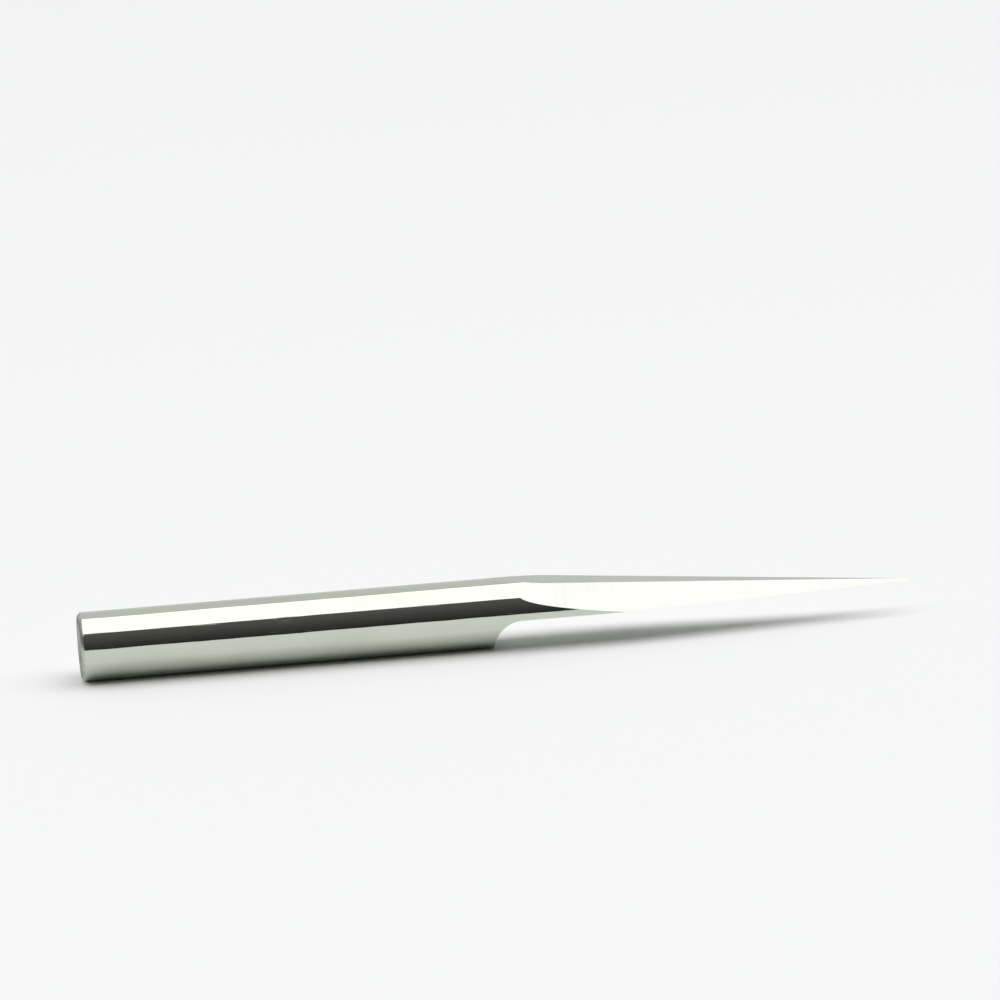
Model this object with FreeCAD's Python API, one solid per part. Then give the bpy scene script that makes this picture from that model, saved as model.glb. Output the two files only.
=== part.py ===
import FreeCAD, Part

import math
import os

from FreeCAD import Placement, Rotation, Vector

# V groove router bit, ground from one piece of solid carbide, in millimetres.
# Its axis is the X axis. The origin is the middle of the shank's end, the tip
# points to +X, and the half-round flat faces down, to -Z.

# Round blank
shank_diameter = 3.175
overall_length = 38.1
end_chamfer = 0.15

# Half round: the flat runs parallel to the axis from its run-out to the tip
shank_length = 18.94
flat_below_axis = 0.10
wheel_corner_radius = 1.3

# Slender V on the back, made by three flat facets that lean in to the axis
side_facet_lean = 5.1
side_facet_turn = 40.0
back_facet_lean = 4.75
back_facet_turn = 90.0

# Tip: a narrow end face that falls back from the flat
tip_width = 0.13
tip_relief = 15.0

radius = shank_diameter / 2
tip_x = overall_length
flat_z = -flat_below_axis


def round_blank():
    """The rod, turned about the axis, with its shank end chamfered."""
    outline = Part.makePolygon([
        Vector(0, 0, 0),
        Vector(0, radius - end_chamfer, 0),
        Vector(end_chamfer, radius, 0),
        Vector(tip_x, radius, 0),
        Vector(tip_x, 0, 0),
        Vector(0, 0, 0),
    ])
    return Part.Face(outline).revolve(Vector(0, 0, 0), Vector(1, 0, 0), 360)


def half_round_cut():
    """All that the grinding wheel takes off below the flat.

    The wheel's face makes the flat, and its rounded corner and side make the
    hollow run-out and the low wall where the shank begins.
    """
    wall_x = shank_length
    corner_x = wall_x + wheel_corner_radius
    corner_z = flat_z - wheel_corner_radius
    past_tip_x = tip_x + shank_diameter
    below_z = corner_z - shank_diameter
    slant = wheel_corner_radius * math.sqrt(0.5)

    wall_top = Vector(wall_x, 0, corner_z)
    flat_start = Vector(corner_x, 0, flat_z)
    flat_end = Vector(past_tip_x, 0, flat_z)
    below_tip = Vector(past_tip_x, 0, below_z)
    below_wall = Vector(wall_x, 0, below_z)
    hollow = Part.Arc(wall_top, Vector(corner_x - slant, 0, corner_z + slant), flat_start)
    outline = Part.Wire([
        hollow.toShape(),
        Part.makeLine(flat_start, flat_end),
        Part.makeLine(flat_end, below_tip),
        Part.makeLine(below_tip, below_wall),
        Part.makeLine(below_wall, wall_top),
    ])
    cut = Part.Face(outline).extrude(Vector(0, 2 * shank_diameter, 0))
    cut.translate(Vector(0, -shank_diameter, 0))
    return cut


def plane_cut(point, lean, turn):
    """All that lies outside a flat ground face through the given point.

    The face looks out from the axis, turn degrees round from the near edge of
    the half-round flat, and leans in towards the tip by lean degrees.
    """
    cut = Part.makeBox(2 * overall_length, 2 * shank_diameter, 2 * shank_diameter,
                       Vector(-overall_length, -shank_diameter, 0))
    about_axis = Rotation(Vector(1, 0, 0), 90 - turn)
    towards_tip = Rotation(Vector(0, 1, 0), lean)
    cut.Placement = Placement(point, about_axis.multiply(towards_tip))
    return cut


def v_facet_cuts():
    """The three facets, which all pass through one apex on the axis.

    The apex stands as far back from the end face as leaves the two cutting
    edges tip_width apart there.
    """
    side_turn = math.radians(side_facet_turn)
    edge_offset = flat_below_axis * math.sin(side_turn) - tip_width / 2 * math.cos(side_turn)
    apex_x = tip_x - edge_offset / math.tan(math.radians(side_facet_lean))
    apex = Vector(apex_x, 0, 0)
    return [
        plane_cut(apex, side_facet_lean, side_facet_turn),
        plane_cut(apex, back_facet_lean, back_facet_turn),
        plane_cut(apex, side_facet_lean, 180 - side_facet_turn),
    ]


def end_face_cut():
    """The end face, square to the flat's middle line and relieved behind it."""
    return plane_cut(Vector(tip_x, 0, flat_z), 90 - tip_relief, back_facet_turn)


def router_bit():
    bit = round_blank()
    for cut in [half_round_cut(), *v_facet_cuts(), end_face_cut()]:
        bit = bit.cut(cut)
    return bit


os.makedirs("parts", exist_ok=True)
router_bit().exportStep("parts/router_bit.step")
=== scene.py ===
import cmath
import math

import bmesh
import bpy
from mathutils import Matrix, Vector


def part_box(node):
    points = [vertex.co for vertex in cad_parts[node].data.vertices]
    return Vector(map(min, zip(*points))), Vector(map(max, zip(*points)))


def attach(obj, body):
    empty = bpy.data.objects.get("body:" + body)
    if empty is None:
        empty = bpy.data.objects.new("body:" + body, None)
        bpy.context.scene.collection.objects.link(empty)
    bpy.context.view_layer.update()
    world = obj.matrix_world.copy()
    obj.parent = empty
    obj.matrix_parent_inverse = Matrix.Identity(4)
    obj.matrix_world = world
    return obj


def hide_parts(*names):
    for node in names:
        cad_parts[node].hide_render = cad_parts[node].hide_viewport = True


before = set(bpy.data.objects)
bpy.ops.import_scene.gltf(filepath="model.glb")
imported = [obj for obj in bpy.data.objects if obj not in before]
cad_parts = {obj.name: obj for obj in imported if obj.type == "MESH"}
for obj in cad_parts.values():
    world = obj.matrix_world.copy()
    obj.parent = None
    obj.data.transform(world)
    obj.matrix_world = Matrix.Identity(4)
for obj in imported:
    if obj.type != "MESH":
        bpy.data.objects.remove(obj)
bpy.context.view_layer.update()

lowCorner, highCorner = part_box("router_bit")
bitLength = highCorner.x - lowCorner.x
shankDiameter = highCorner.y - lowCorner.y
shankEnd = Vector((lowCorner.x, 0, highCorner.z - shankDiameter / 2))
millimetre = 0.001
print("frame loaded: bit", round(bitLength / millimetre, 2), "by", round(shankDiameter / millimetre, 3), "mm")


# Small helpers for node trees

nodeLayout = {"perRow": 12, "across": 220, "down": 260}


def addNode(tree, kind, feeds=None, **settings):
    node = tree.nodes.new(kind)
    row, column = divmod(len(tree.nodes), nodeLayout["perRow"])
    node.location = (nodeLayout["across"] * column, -nodeLayout["down"] * row)
    for name, value in settings.items():
        setattr(node, name, value)
    for key, value in (feeds or {}).items():
        if isinstance(value, bpy.types.NodeSocket):
            tree.links.new(value, node.inputs[key])
        else:
            node.inputs[key].default_value = value
    return node


def calc(tree, operation, first, second=0.0, third=0.0):
    return addNode(tree, "ShaderNodeMath", {0: first, 1: second, 2: third}, operation=operation).outputs[0]


def spread(tree, x=0.0, y=0.0, z=0.0):
    return addNode(tree, "ShaderNodeCombineXYZ", {0: x, 1: y, 2: z}).outputs[0]


# Ground carbide. Marks are noise, in marks per metre along x, y and z, and a finish mixes them
# into its tone, its roughness and its relief. Most of a noise lies within noiseRange.

noiseRange = (0.3, 0.7)

carbideSettings = {
    "polishedShank": {
        "dark": (0.582, 0.606, 0.528), "light": (0.636, 0.66, 0.578),
        "gloss": (0.03, 0.045), "depth": 0.002 * millimetre,
        "haze": {"perMetre": (260, 900, 900), "detail": 4},
        "draws": {"perMetre": (160, 6500, 6500), "detail": 3},
        "rings": {"perMetre": (9000, 90, 90)}, "ringShare": 0.08,
        "scuffs": {"perMetre": (900, 30000, 30000), "detail": 3}, "scuffRange": (0.57, 0.7),
        "patches": {"perMetre": (300, 1300, 1300)}, "patchRange": (0.46, 0.62),
        "scratchGloss": 0.24},
    "groundFacet": {
        "dark": (0.54, 0.558, 0.51), "light": (0.625, 0.643, 0.6),
        "gloss": (0.06, 0.16), "depth": 0.0007 * millimetre,
        "passes": {"perMetre": (14000, 260, 260), "detail": 3, "roughness": 0.6},
        "haze": {"perMetre": (330, 1500, 1500), "detail": 4}, "hazeShare": 0.4},
    "lappedFlat": {
        "dark": (0.47, 0.49, 0.445), "light": (0.605, 0.625, 0.575),
        "gloss": (0.04, 0.14), "depth": 0.0012 * millimetre,
        "draws": {"perMetre": (70, 9000, 400), "detail": 4, "roughness": 0.65},
        "haze": {"perMetre": (400, 900, 900), "detail": 4}, "hazeShare": 0.35},
    "wheelHollow": {
        "dark": (0.4, 0.42, 0.375), "light": (0.58, 0.6, 0.55),
        "gloss": (0.1, 0.24), "depth": 0.004 * millimetre,
        "lines": {"perMetre": (6500, 60, 6500), "detail": 4, "roughness": 0.65},
        "specks": {"perMetre": (5000, 2500, 5000), "detail": 4}, "speckShare": 0.2},
    "turnedChamfer": {
        "dark": (0.38, 0.4, 0.34), "light": (0.62, 0.645, 0.57),
        "gloss": (0.2, 0.34), "depth": 0.003 * millimetre, "edgeTint": 0.8,
        "rings": {"perMetre": (16000, 700, 700), "detail": 3},
        "chips": {"perMetre": (4500, 4500, 4500), "detail": 4, "roughness": 0.65}},
    "groundEnd": {
        "dark": (0.15, 0.158, 0.14), "light": (0.6, 0.62, 0.55),
        "gloss": (0.22, 0.4), "depth": 0.003 * millimetre, "edgeTint": 0.42,
        "streaks": {"perMetre": (500, 350, 16000), "detail": 4, "roughness": 0.65, "turn": math.radians(22)},
        "bands": {"perMetre": (500, 120, 1100), "detail": 1, "turn": math.radians(22), "shift": 3.0},
        "bandShare": 0.6, "contrastRange": (0.4, 0.58)},
}


def marks(tree, perMetre, detail=2.0, roughness=0.5, turn=0.0, shift=0.0):
    place = addNode(tree, "ShaderNodeTexCoord").outputs["Object"]
    turned = addNode(tree, "ShaderNodeVectorRotate", {"Vector": place, "Angle": turn}, rotation_type="X_AXIS")
    stretched = addNode(tree, "ShaderNodeMapping", {
        "Vector": turned.outputs[0], "Scale": perMetre, "Location": (shift, 0, 0)})
    noise = addNode(tree, "ShaderNodeTexNoise", {
        "Vector": stretched.outputs[0], "Scale": 1.0, "Detail": detail, "Roughness": roughness})
    return noise.outputs["Fac"]


def between(tree, amount, results, limits=noiseRange):
    return addNode(tree, "ShaderNodeMapRange", {
        "Value": amount, "From Min": limits[0], "From Max": limits[1],
        "To Min": results[0], "To Max": results[1]}).outputs[0]


def blend(tree, first, second, share):
    return calc(tree, "MULTIPLY_ADD", second, share, calc(tree, "MULTIPLY", first, 1 - share))


def polishedShank(tree, coat):
    haze, draws, rings = (marks(tree, **coat[name]) for name in ("haze", "draws", "rings"))
    # fine scratches along the shank, in a few patches
    scuffs = between(tree, marks(tree, **coat["scuffs"]), (0, 1), coat["scuffRange"])
    patches = between(tree, marks(tree, **coat["patches"]), (0, 1), coat["patchRange"])
    scratches = calc(tree, "MULTIPLY", scuffs, patches)
    gloss = calc(tree, "MULTIPLY_ADD", scratches, coat["scratchGloss"], between(tree, haze, coat["gloss"]))
    return haze, gloss, calc(tree, "MULTIPLY_ADD", rings, coat["ringShare"], draws)


def groundFacet(tree, coat):
    passes, haze = marks(tree, **coat["passes"]), marks(tree, **coat["haze"])
    return blend(tree, passes, haze, coat["hazeShare"]), between(tree, passes, coat["gloss"]), passes


def lappedFlat(tree, coat):
    draws, haze = marks(tree, **coat["draws"]), marks(tree, **coat["haze"])
    return blend(tree, draws, haze, coat["hazeShare"]), between(tree, draws, coat["gloss"]), draws


def wheelHollow(tree, coat):
    lines, specks = marks(tree, **coat["lines"]), marks(tree, **coat["specks"])
    return blend(tree, lines, specks, coat["speckShare"]), between(tree, lines, coat["gloss"]), lines


def turnedChamfer(tree, coat):
    rings, chips = marks(tree, **coat["rings"]), marks(tree, **coat["chips"])
    return chips, between(tree, rings, coat["gloss"]), calc(tree, "ADD", rings, chips)


def groundEnd(tree, coat):
    streaks, bands = marks(tree, **coat["streaks"]), marks(tree, **coat["bands"])
    mixed = blend(tree, streaks, bands, coat["bandShare"])
    tone = between(tree, mixed, noiseRange, coat["contrastRange"])
    return tone, between(tree, streaks, coat["gloss"]), streaks


def layFinish(make):
    name = make.__name__
    coat = carbideSettings[name]
    material = bpy.data.materials.new(name)
    material.use_nodes = True
    tree = material.node_tree
    shader = tree.nodes["Principled BSDF"]
    shader.inputs["Metallic"].default_value = 1.0
    # a coarse finish gives back less light when it is seen almost edge-on
    shader.inputs["Specular Tint"].default_value = (*[coat.get("edgeTint", 1.0)] * 3, 1)
    tone, gloss, height = make(tree, coat)
    ramp = addNode(tree, "ShaderNodeValToRGB", {"Fac": tone})
    for element, place, shade in zip(ramp.color_ramp.elements, noiseRange, ("dark", "light")):
        element.position = place
        element.color = (*coat[shade], 1)
    bump = addNode(tree, "ShaderNodeBump", {"Height": height, "Strength": 1.0, "Distance": coat["depth"]})
    tree.links.new(ramp.outputs["Color"], shader.inputs["Base Color"])
    tree.links.new(gloss, shader.inputs["Roughness"])
    tree.links.new(bump.outputs["Normal"], shader.inputs["Normal"])
    return material


carbide = {make.__name__: layFinish(make) for make in (
    polishedShank, groundFacet, lappedFlat, wheelHollow, turnedChamfer, groundEnd)}
print("finishes laid:", ", ".join(carbide))


# The round blank, before it is ground

blankSettings = {
    "sides": 256,
    "endChamfer": 0.15 * millimetre,
    "cornerRounding": 0.03 * millimetre,
    "roundingSteps": 4,
}


# points along and across the axis, from the shank end to the tip
def blankOutline():
    radius = shankDiameter / 2
    chamfer, reach = blankSettings["endChamfer"], blankSettings["cornerRounding"]
    along, slant, across = Vector((1, 0)), Vector((1, 1)).normalized(), Vector((0, 1))
    outline = []
    for corner, before, after in (
            (Vector((0, radius - chamfer)), across, slant),
            (Vector((chamfer, radius)), slant, along)):
        entering, leaving = corner - before * reach, corner + after * reach
        for step in range(blankSettings["roundingSteps"] + 1):
            share = step / blankSettings["roundingSteps"]
            outline.append(entering.lerp(corner, share).lerp(corner.lerp(leaving, share), share))
    outline.append(Vector((bitLength, radius)))
    return outline


def turnBlank():
    sides = blankSettings["sides"]
    shape = bmesh.new()
    rings = []
    for along, reach in blankOutline():
        ring = []
        for step in range(sides):
            turn = 2 * math.pi * (step + 0.5) / sides
            spot = shankEnd + Vector((along, reach * math.cos(turn), reach * math.sin(turn)))
            ring.append(shape.verts.new(spot))
        rings.append(ring)
    for near, far in zip(rings, rings[1:]):
        for step in range(sides):
            after = (step + 1) % sides
            shape.faces.new((near[step], near[after], far[after], far[step]))
    shape.faces.new(rings[0])
    shape.faces.new(rings[-1])
    bmesh.ops.recalc_face_normals(shape, faces=shape.faces)
    mesh = bpy.data.meshes.new("blank")
    shape.to_mesh(mesh)
    shape.free()
    mesh.materials.append(carbide["polishedShank"])
    blank = bpy.data.objects.new("blank", mesh)
    bpy.context.scene.collection.objects.link(blank)
    return blank


# Grinding the blank. Inside the tree the sizes are in millimetres.

length = bitLength / millimetre
diameter = shankDiameter / millimetre
start = shankEnd / millimetre

grindSettings = {
    "Shank Length": 18.94,
    "Flat Below Axis": 0.10,
    "Wheel Corner Radius": 1.3,
    "Side Facet Lean": math.radians(5.1),
    "Side Facet Turn": math.radians(40),
    "Back Facet Lean": math.radians(4.75),
    "Tip Width": 0.13,
    "Tip Relief": math.radians(15),
    "Wheel Chatter": 0.005,
    "Chatter Pitch": 0.18,
    "Chatter Seed": 7.0,
}
cutterSettings = {
    "slabSize": (length * 2, diameter * 2, diameter * 2),
    "wheelSize": (length, diameter * 4),
    "cornerSteps": 96,
    # shares of the end chamfer's length, past which the finish changes
    "chamferPast": 0.1,
    "shankPast": 0.9,
    "sharpAngle": math.radians(20),
}


def lessAlong(tree, limit):
    spot = addNode(tree, "GeometryNodeInputPosition").outputs[0]
    place = addNode(tree, "ShaderNodeSeparateXYZ", {0: spot})
    return addNode(tree, "FunctionNodeCompare", {"A": place.outputs["X"], "B": limit},
                   data_type="FLOAT", operation="LESS_THAN").outputs[0]


# a grinding pass that takes off all past one plane
def planeCut(tree, point, lean, around):
    slab = addNode(tree, "GeometryNodeMeshCube", {"Size": cutterSettings["slabSize"]})
    raised = addNode(tree, "GeometryNodeTransform", {
        "Geometry": slab.outputs["Mesh"], "Translation": (0, 0, cutterSettings["slabSize"][2] / 2)})
    leaned = addNode(tree, "GeometryNodeTransform", {
        "Geometry": raised.outputs[0], "Rotation": spread(tree, 0.0, lean)})
    placed = addNode(tree, "GeometryNodeTransform", {
        "Geometry": leaned.outputs[0], "Rotation": spread(tree, around), "Translation": point})
    return addNode(tree, "GeometryNodeSetMaterial", {
        "Geometry": placed.outputs[0], "Material": carbide["groundFacet"]}).outputs[0]


# three facets through one apex, and the narrow end face behind the tip
def facetCuts(tree, given, flatZ):
    lean, turn = given["Side Facet Lean"], given["Side Facet Turn"]
    depth = calc(tree, "MULTIPLY", calc(tree, "SINE", turn), given["Flat Below Axis"])
    halfTip = calc(tree, "MULTIPLY", given["Tip Width"], 0.5)
    sideReach = calc(tree, "MULTIPLY", calc(tree, "COSINE", turn), halfTip)
    behind = calc(tree, "DIVIDE", calc(tree, "SUBTRACT", depth, sideReach), calc(tree, "TANGENT", lean))
    tipX = start.x + length
    apex = spread(tree, calc(tree, "SUBTRACT", tipX, behind), start.y, start.z)
    sideways = calc(tree, "SUBTRACT", math.pi / 2, turn)
    relief = calc(tree, "SUBTRACT", math.pi / 2, given["Tip Relief"])
    return [
        planeCut(tree, apex, lean, sideways),
        planeCut(tree, apex, given["Back Facet Lean"], 0.0),
        planeCut(tree, apex, lean, calc(tree, "MULTIPLY", sideways, -1.0)),
        planeCut(tree, spread(tree, tipX, start.y, flatZ), relief, 0.0),
    ]


# ripples in the wheel's rounded corner, none where it meets the flat and the wall
def chatter(tree, given, outline, centre):
    spot = addNode(tree, "GeometryNodeInputPosition").outputs[0]
    reach = addNode(tree, "ShaderNodeVectorMath", {0: spot, 1: centre}, operation="SUBTRACT").outputs[0]
    outward = addNode(tree, "ShaderNodeVectorMath", {0: reach}, operation="NORMALIZE").outputs[0]
    parts = addNode(tree, "ShaderNodeSeparateXYZ", {0: outward})
    swing = calc(tree, "ARCTAN2", parts.outputs["Y"], calc(tree, "MULTIPLY", parts.outputs["X"], -1.0))
    inCorner = between(tree, calc(tree, "SINE", calc(tree, "MULTIPLY", swing, 2.0)), (0, 1), (0, 1))
    travel = calc(tree, "MULTIPLY", swing, given["Wheel Corner Radius"])
    ripple = addNode(tree, "ShaderNodeTexNoise", {
        "W": calc(tree, "ADD", calc(tree, "DIVIDE", travel, given["Chatter Pitch"]), given["Chatter Seed"]),
        "Scale": 1.0, "Detail": 1.0}, noise_dimensions="1D").outputs[0]
    height = calc(tree, "MULTIPLY", calc(tree, "MULTIPLY_ADD", ripple, 2.0, -1.0), given["Wheel Chatter"])
    push = addNode(tree, "ShaderNodeVectorMath", {
        0: outward, "Scale": calc(tree, "MULTIPLY", height, inCorner)}, operation="SCALE").outputs[0]
    return addNode(tree, "GeometryNodeSetPosition", {"Geometry": outline, "Offset": push}).outputs[0]


# the wheel: a slab with rounded corners, swept across the bit below the flat
def wheelCut(tree, given, flatZ):
    corner = given["Wheel Corner Radius"]
    wide, tall = cutterSettings["wheelSize"]
    outline = addNode(tree, "GeometryNodeCurvePrimitiveQuadrilateral", {"Width": wide, "Height": tall})
    rounded = addNode(tree, "GeometryNodeFilletCurve", {
        "Curve": outline.outputs[0], "Count": cutterSettings["cornerSteps"], "Radius": corner}, mode="POLY")
    centre = spread(tree, calc(tree, "SUBTRACT", corner, wide / 2), calc(tree, "SUBTRACT", tall / 2, corner))
    rippled = chatter(tree, given, rounded.outputs[0], centre)
    path = addNode(tree, "GeometryNodeCurvePrimitiveLine", {
        "Start": (0, 0, -diameter), "End": (0, 0, diameter)})
    swept = addNode(tree, "GeometryNodeCurveToMesh", {
        "Curve": path.outputs[0], "Profile Curve": rippled, "Fill Caps": True})
    upright = addNode(tree, "GeometryNodeTransform", {
        "Geometry": swept.outputs[0], "Rotation": (math.pi / 2, 0, 0)})
    wallX = calc(tree, "ADD", given["Shank Length"], start.x)
    wheel = addNode(tree, "GeometryNodeTransform", {
        "Geometry": upright.outputs[0],
        "Translation": spread(tree, calc(tree, "ADD", wallX, wide / 2), start.y,
                              calc(tree, "SUBTRACT", flatZ, tall / 2))})
    flat = addNode(tree, "GeometryNodeSetMaterial", {
        "Geometry": wheel.outputs[0], "Material": carbide["lappedFlat"]})
    return addNode(tree, "GeometryNodeSetMaterial", {
        "Geometry": flat.outputs[0], "Selection": lessAlong(tree, calc(tree, "ADD", wallX, corner)),
        "Material": carbide["wheelHollow"]}).outputs[0]


def buildGrinding():
    tree = bpy.data.node_groups.new("grindBit", "GeometryNodeTree")
    tree.interface.new_socket("Geometry", in_out="INPUT", socket_type="NodeSocketGeometry")
    for name, value in grindSettings.items():
        socket = tree.interface.new_socket(name, in_out="INPUT", socket_type="NodeSocketFloat")
        socket.default_value = value
    tree.interface.new_socket("Geometry", in_out="OUTPUT", socket_type="NodeSocketGeometry")
    given = addNode(tree, "NodeGroupInput").outputs
    flatZ = calc(tree, "SUBTRACT", start.z, given["Flat Below Axis"])

    inMillimetres = addNode(tree, "GeometryNodeTransform", {
        "Geometry": given["Geometry"], "Scale": (1 / millimetre,) * 3})
    ground = addNode(tree, "GeometryNodeMeshBoolean", {"Mesh 1": inMillimetres.outputs[0]},
                     operation="DIFFERENCE", solver="EXACT")
    for cut in [*facetCuts(tree, given, flatZ), wheelCut(tree, given, flatZ)]:
        tree.links.new(cut, ground.inputs["Mesh 2"])
    inMetres = addNode(tree, "GeometryNodeTransform", {
        "Geometry": ground.outputs["Mesh"], "Scale": (millimetre,) * 3})

    # the end face and its chamfer are left from the blank, and have finishes of their own
    finished = addNode(tree, "GeometryNodeRealizeInstances", {"Geometry": inMetres.outputs[0]})
    for share, finish in (("shankPast", "turnedChamfer"), ("chamferPast", "groundEnd")):
        limit = shankEnd.x + blankSettings["endChamfer"] * cutterSettings[share]
        finished = addNode(tree, "GeometryNodeSetMaterial", {
            "Geometry": finished.outputs[0], "Selection": lessAlong(tree, limit),
            "Material": carbide[finish]})
    result = addNode(tree, "NodeGroupOutput")
    tree.links.new(finished.outputs[0], result.inputs[0])
    return tree


def grindBit(blank):
    grinding = blank.modifiers.new("grinding", "NODES")
    grinding.node_group = buildGrinding()
    for item in grinding.node_group.interface.items_tree:
        if item.in_out == "INPUT" and item.name in grindSettings:
            grinding[item.identifier] = grindSettings[item.name]
    evaluated = blank.evaluated_get(bpy.context.evaluated_depsgraph_get())
    mesh = bpy.data.meshes.new_from_object(evaluated)
    bit = bpy.data.objects.new("routerBit", mesh)
    bpy.context.scene.collection.objects.link(bit)
    bpy.data.objects.remove(blank)
    return bit


# smooth shading, with hard edges between the ground faces
def shadeBit(bit):
    bit.data.shade_smooth()
    shape = bmesh.new()
    shape.from_mesh(bit.data)
    for edge in shape.edges:
        finishesMet = {face.material_index for face in edge.link_faces}
        edge.smooth = len(finishesMet) == 1 and edge.calc_face_angle(0) < cutterSettings["sharpAngle"]
    shape.to_mesh(bit.data)
    shape.free()


bit = grindBit(turnBlank())
shadeBit(bit)
print("bit ground:", len(bit.data.polygons), "faces,", len(bit.data.materials), "finishes")
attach(bit, "root")
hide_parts("router_bit")


# Floor, light and camera

studioSettings = {
    "floorColor": (0.906, 0.915, 0.912),
    "floorSize": 6.0,
    "floorRoughness": 0.9,
    "floorShine": 0.1,
    "softboxHeight": 0.8,
    "softboxNear": math.radians(56),
    "softboxFar": math.radians(116.5),
    "softboxLength": 3.0,
    "softboxRadiance": 1.6,
    "backdrop": 0.94,
    # how bright the room is, from the level in front, over the top, to the level behind
    "roomStripes": [(0.0, 0.027), (0.30, 0.119), (0.62, 0.119), (0.64, 0.785), (1.0, 0.73)],
    # how much of that is left towards the sides, and where along x it fades
    "sideLevels": (1.0, 0.35),
    "sideFade": (0.5, 0.85),
}


def layFloor():
    half = studioSettings["floorSize"] / 2
    mesh = bpy.data.meshes.new("floor")
    corners = [(-half, -half, 0), (half, -half, 0), (half, half, 0), (-half, half, 0)]
    mesh.from_pydata(corners, [], [(0, 1, 2, 3)])
    floor = bpy.data.objects.new("floor", mesh)
    floor.location.z = shankEnd.z - shankDiameter / 2
    bpy.context.scene.collection.objects.link(floor)
    material = bpy.data.materials.new("palePaper")
    material.use_nodes = True
    shader = material.node_tree.nodes["Principled BSDF"]
    shader.inputs["Base Color"].default_value = (*studioSettings["floorColor"], 1)
    shader.inputs["Roughness"].default_value = studioSettings["floorRoughness"]
    shader.inputs["Specular IOR Level"].default_value = studioSettings["floorShine"]
    mesh.materials.append(material)


def hangSoftbox():
    height = studioSettings["softboxHeight"]
    near = -height / math.tan(studioSettings["softboxNear"])
    far = -height / math.tan(studioSettings["softboxFar"])
    light = bpy.data.lights.new("softbox", "AREA")
    light.shape = "RECTANGLE"
    light.size = studioSettings["softboxLength"]
    light.size_y = far - near
    light.energy = studioSettings["softboxRadiance"] * math.pi * light.size * light.size_y
    softbox = bpy.data.objects.new("softbox", light)
    softbox.location = (0, (near + far) / 2, shankEnd.z + height)
    bpy.context.scene.collection.objects.link(softbox)


def paintRoom():
    world = bpy.data.worlds.new("studio")
    bpy.context.scene.world = world
    world.use_nodes = True
    tree = world.node_tree
    outward = addNode(tree, "ShaderNodeTexCoord").outputs["Generated"]
    direction = addNode(tree, "ShaderNodeSeparateXYZ", {0: outward})
    towards = calc(tree, "MULTIPLY", direction.outputs["Y"], -1.0)
    rise = calc(tree, "ARCTAN2", direction.outputs["Z"], towards)
    ramp = addNode(tree, "ShaderNodeValToRGB", {"Fac": calc(tree, "DIVIDE", rise, math.pi)})
    stripes = ramp.color_ramp.elements
    while len(stripes) < len(studioSettings["roomStripes"]):
        stripes.new(0.5)
    for stripe, (place, value) in zip(stripes, studioSettings["roomStripes"]):
        stripe.position = place
        stripe.color = (value, value, value, 1)
    sideways = calc(tree, "ABSOLUTE", direction.outputs["X"])
    kept = between(tree, sideways, studioSettings["sideLevels"], studioSettings["sideFade"])
    room = addNode(tree, "ShaderNodeVectorMath", {0: ramp.outputs["Color"], "Scale": kept}, operation="SCALE")
    lightPath = addNode(tree, "ShaderNodeLightPath")
    shown = addNode(tree, "ShaderNodeMix", {
        "Factor": lightPath.outputs["Is Camera Ray"], "A": room.outputs[0],
        "B": (*[studioSettings["backdrop"]] * 3, 1)}, data_type="RGBA")
    tree.links.new(shown.outputs["Result"], tree.nodes["Background"].inputs["Color"])


cameraSettings = {
    "lookFrom": (-0.0687, -0.9674, 0.2436),
    "distance": 1.0,
    "pictureSide": 1000,
    "sensorWidth": 36,
    "clip": (0.05, 20),
    "shankEndPixel": (79.3, 647),
    "tipPixel": (908, 578),
}


# turned and scaled so that the bit's axis runs from one pixel to the other
def placeCamera():
    look = cameraSettings
    back = Vector(look["lookFrom"]).normalized()
    right = Vector((0, 0, 1)).cross(back).normalized()
    up = back.cross(right)
    along = Vector((bitLength, 0, 0))
    endX, endY = look["shankEndPixel"]
    tipX, tipY = look["tipPixel"]
    turned = complex(tipX - endX, endY - tipY) / complex(along.dot(right), along.dot(up))
    pixelsPerMetre, roll = abs(turned), cmath.phase(turned)
    right, up = (right * math.cos(roll) - up * math.sin(roll),
                 right * math.sin(roll) + up * math.cos(roll))
    middle = look["pictureSide"] / 2
    target = shankEnd + (right * (middle - endX) + up * (endY - middle)) / pixelsPerMetre
    data = bpy.data.cameras.new("camera")
    data.sensor_width = look["sensorWidth"]
    data.lens = look["distance"] * pixelsPerMetre * data.sensor_width / look["pictureSide"]
    data.clip_start, data.clip_end = look["clip"]
    camera = bpy.data.objects.new("camera", data)
    spot = target + back * look["distance"]
    camera.matrix_world = Matrix((
        (right.x, up.x, back.x, spot.x),
        (right.y, up.y, back.y, spot.y),
        (right.z, up.z, back.z, spot.z),
        (0, 0, 0, 1)))
    bpy.context.scene.collection.objects.link(camera)
    bpy.context.scene.camera = camera
    print("camera placed:", round(data.lens), "mm lens,", round(pixelsPerMetre * millimetre, 2),
          "pixels per mm, roll", round(math.degrees(roll), 2))


layFloor()
hangSoftbox()
paintRoom()
placeCamera()
bpy.context.scene.view_settings.view_transform = "Standard"
print("studio set")
